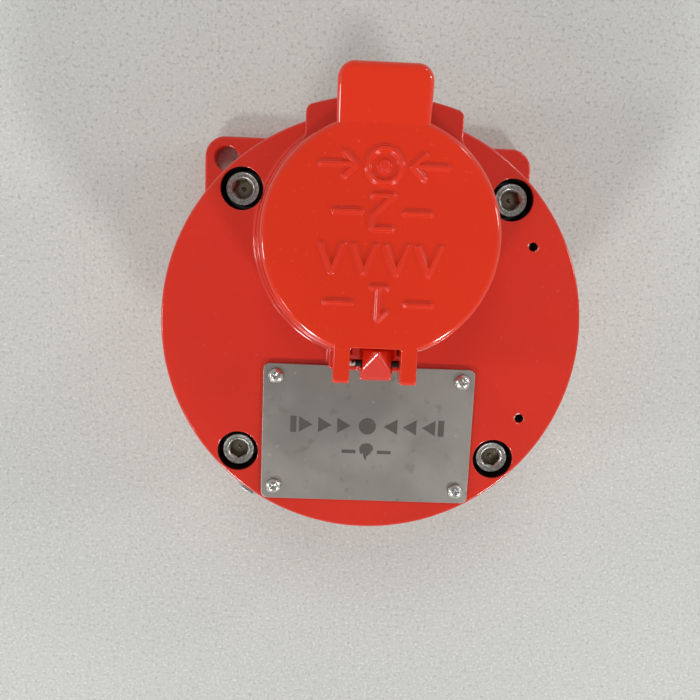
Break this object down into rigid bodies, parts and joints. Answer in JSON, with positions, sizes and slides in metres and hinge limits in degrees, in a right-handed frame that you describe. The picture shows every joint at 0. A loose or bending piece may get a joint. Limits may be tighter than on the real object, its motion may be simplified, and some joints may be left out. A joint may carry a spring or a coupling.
{
  "type": "manual call point",
  "caption": "Round cast fire alarm call point on a square foot, with a screwed cover, a nameplate and a push button under a hinged lift flap.",
  "frame": {"origin": "centre of the flat back, on the wall face", "axes": "+Z out of the wall through cover and button, +Y to the nameplate (the top on a wall), +X to the right as the nameplate is read; the cable entry and the flap's tab are on the -Y side"},
  "size_m": [0.13, 0.1377, 0.1054],
  "materials": {
    "red_enamel": "glossy red stoved enamel over cast aluminium, slightly orange-peeled",
    "red_button_plastic": "semi-gloss moulded red",
    "nameplate_steel": "brushed stainless sheet, smudged, dark engraved marks",
    "stainless": "turned stainless",
    "zinc_plated": "bright zinc or nickel plating, slightly worn",
    "spring_steel": "drawn spring wire and strip",
    "brass": "turned and stamped brass",
    "black_plastic": "moulded thermoset",
    "ivory_plastic": "moulded nylon",
    "rubber": "moulded nitrile O-ring"
  },
  "bodies": {
    "housing": {"actuator_bush": "brass", "contact_block_housing": "black_plastic", "contact_block_screw_1": "zinc_plated", "contact_block_screw_2": "zinc_plated", "contact_spring": "spring_steel", "cover_gasket": "rubber", "cover_screw_1": "zinc_plated", "cover_screw_2": "zinc_plated", "cover_screw_3": "zinc_plated", "cover_screw_4": "zinc_plated", "cover_washer_1": "spring_steel", "cover_washer_2": "spring_steel", "cover_washer_3": "spring_steel", "cover_washer_4": "spring_steel", "earth_bolt": "zinc_plated", "earth_plain_washer": "zinc_plated", "earth_spring_washer": "spring_steel", "fixed_contact_left": "brass", "fixed_contact_right": "brass", "front_cover": "red_enamel", "hinge_pin": "stainless", "internal_earth_screw": "brass", "internal_earth_washer": "brass", "mounting_plate": "zinc_plated", "mounting_plate_screw_1": "zinc_plated", "mounting_plate_screw_2": "zinc_plated", "mounting_plate_screw_3": "zinc_plated", "mounting_plate_screw_4": "zinc_plated", "nameplate": "nameplate_steel", "nameplate_screw_1": "stainless", "nameplate_screw_2": "stainless", "nameplate_screw_3": "stainless", "nameplate_screw_4": "stainless", "rear_body": "red_enamel", "return_spring": "spring_steel", "terminal_screw_left": "zinc_plated", "terminal_screw_right": "zinc_plated"},
    "flap": {"flap": "red_enamel"},
    "button": {"push_button": "red_button_plastic", "actuator_rod": "stainless", "rod_circlip": "spring_steel"},
    "carrier": {"contact_carrier": "ivory_plastic", "contact_bridge": "brass"}
  },
  "joints": [
    {"name": "flap_hinge", "type": "hinge", "parent": "housing", "child": "flap", "pos_m": [0, 0.0077, 0.0955], "axis": [-1, 0, 0], "range_deg": [0, 115]},
    {"name": "button_press", "type": "slide", "parent": "housing", "child": "button", "axis": [0, 0, -1], "range_m": [0, 0.005], "stiffness_N_per_m": 1200, "springref_m": -0.004, "deforming": ["return_spring"]},
    {"name": "contact_travel", "type": "slide", "parent": "housing", "child": "carrier", "axis": [0, 0, -1], "range_m": [0, 0.005], "stiffness_N_per_m": 150, "springref_m": -0.004, "deforming": ["contact_spring"]}
  ],
  "couplings": [
    {"joint": "contact_travel", "follows": "button_press", "ratio": 1}
  ]
}
